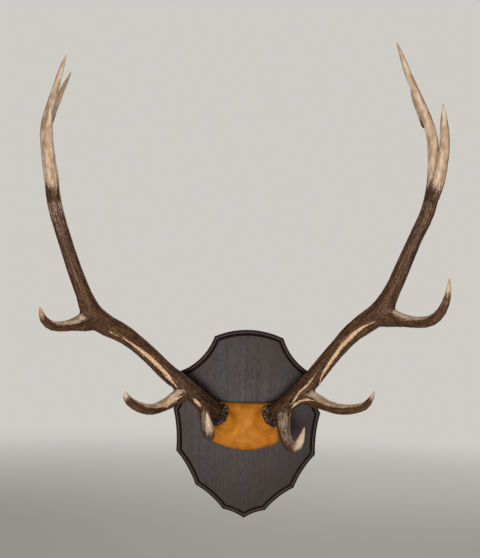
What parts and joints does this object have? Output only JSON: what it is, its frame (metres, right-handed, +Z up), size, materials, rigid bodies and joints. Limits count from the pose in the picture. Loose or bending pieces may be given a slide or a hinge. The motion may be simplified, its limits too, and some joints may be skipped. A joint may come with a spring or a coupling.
{
  "type": "elk antler mount",
  "caption": "Pair of branching elk antlers on a leather covered skull cap, screwed to a moulded walnut shield plaque that hangs on a wall.",
  "frame": {"origin": "middle of the plaque's flat back face, which lies on the wall", "axes": "+Z up the wall, +Y into the wall, -Y out towards the viewer, +X to the viewer's right"},
  "size_m": [0.8846, 0.5411, 1.1101],
  "materials": {
    "walnut": "stained and satin varnished walnut",
    "skull_bone": "dry bone",
    "buckskin": "smooth golden tan leather",
    "antler": "brown grooved antler, polished pale on the ridges",
    "hanger_steel": "zinc plated sheet steel",
    "screw_steel": "yellowed zinc plated steel"
  },
  "bodies": {
    "root": {"plaque": "walnut", "sawtooth_hanger": "hanger_steel", "hanger_screw_left": "screw_steel", "hanger_screw_right": "screw_steel", "mounting_screw_top": "screw_steel", "mounting_screw_left": "screw_steel", "mounting_screw_right": "screw_steel", "skull_cap": "skull_bone", "leather_cover": "buckskin", "left_main_beam": "antler", "left_brow_tine": "antler", "left_bez_tine": "antler", "left_trez_tine": "antler", "left_dagger_tine": "antler", "left_fifth_tine": "antler", "right_main_beam": "antler", "right_brow_tine": "antler", "right_bez_tine": "antler", "right_trez_tine": "antler", "right_dagger_tine": "antler", "right_fifth_tine": "antler"}
  },
  "joints": []
}
